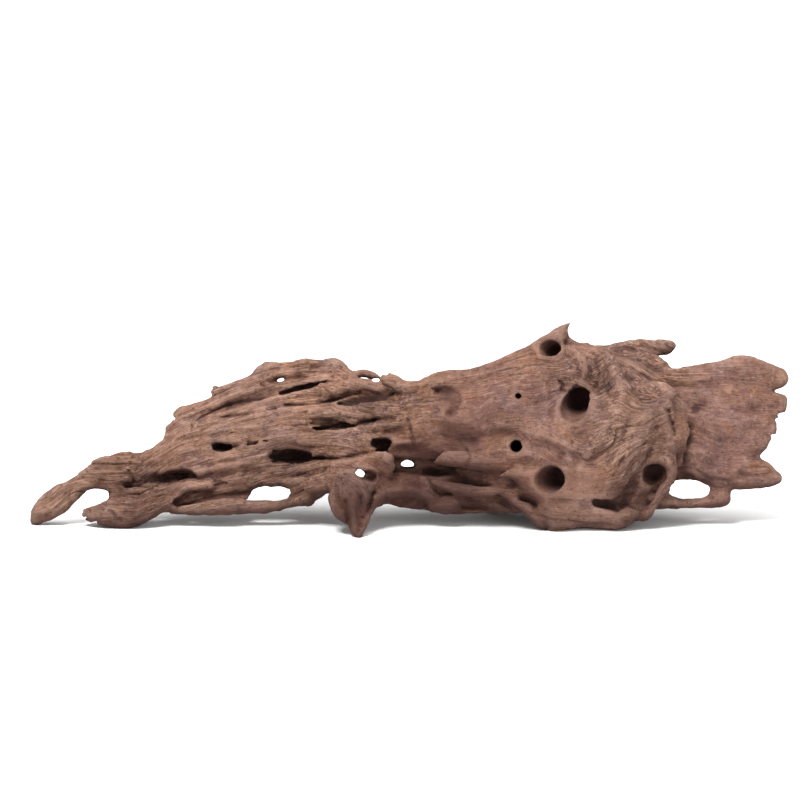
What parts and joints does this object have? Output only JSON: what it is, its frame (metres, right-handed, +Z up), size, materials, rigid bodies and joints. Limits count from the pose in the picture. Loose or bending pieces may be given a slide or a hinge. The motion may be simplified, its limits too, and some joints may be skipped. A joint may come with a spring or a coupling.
{
  "type": "driftwood piece",
  "caption": "Long weathered root of honeycomb driftwood with a split, grooved slab at one end, a bored burl and a thin plate at the other.",
  "frame": {"origin": "middle of the bounding box at ground level, with the wood resting on its low points", "axes": "+X along the length, from the pointed finger to the plate; +Y away from the side the picture shows; +Z up"},
  "size_m": [0.4999, 0.1202, 0.1277],
  "materials": {
    "wood": "dry, weathered, matt, grey-brown with a fine raised grain"
  },
  "bodies": {
    "root": {"driftwood": "wood"}
  },
  "joints": []
}
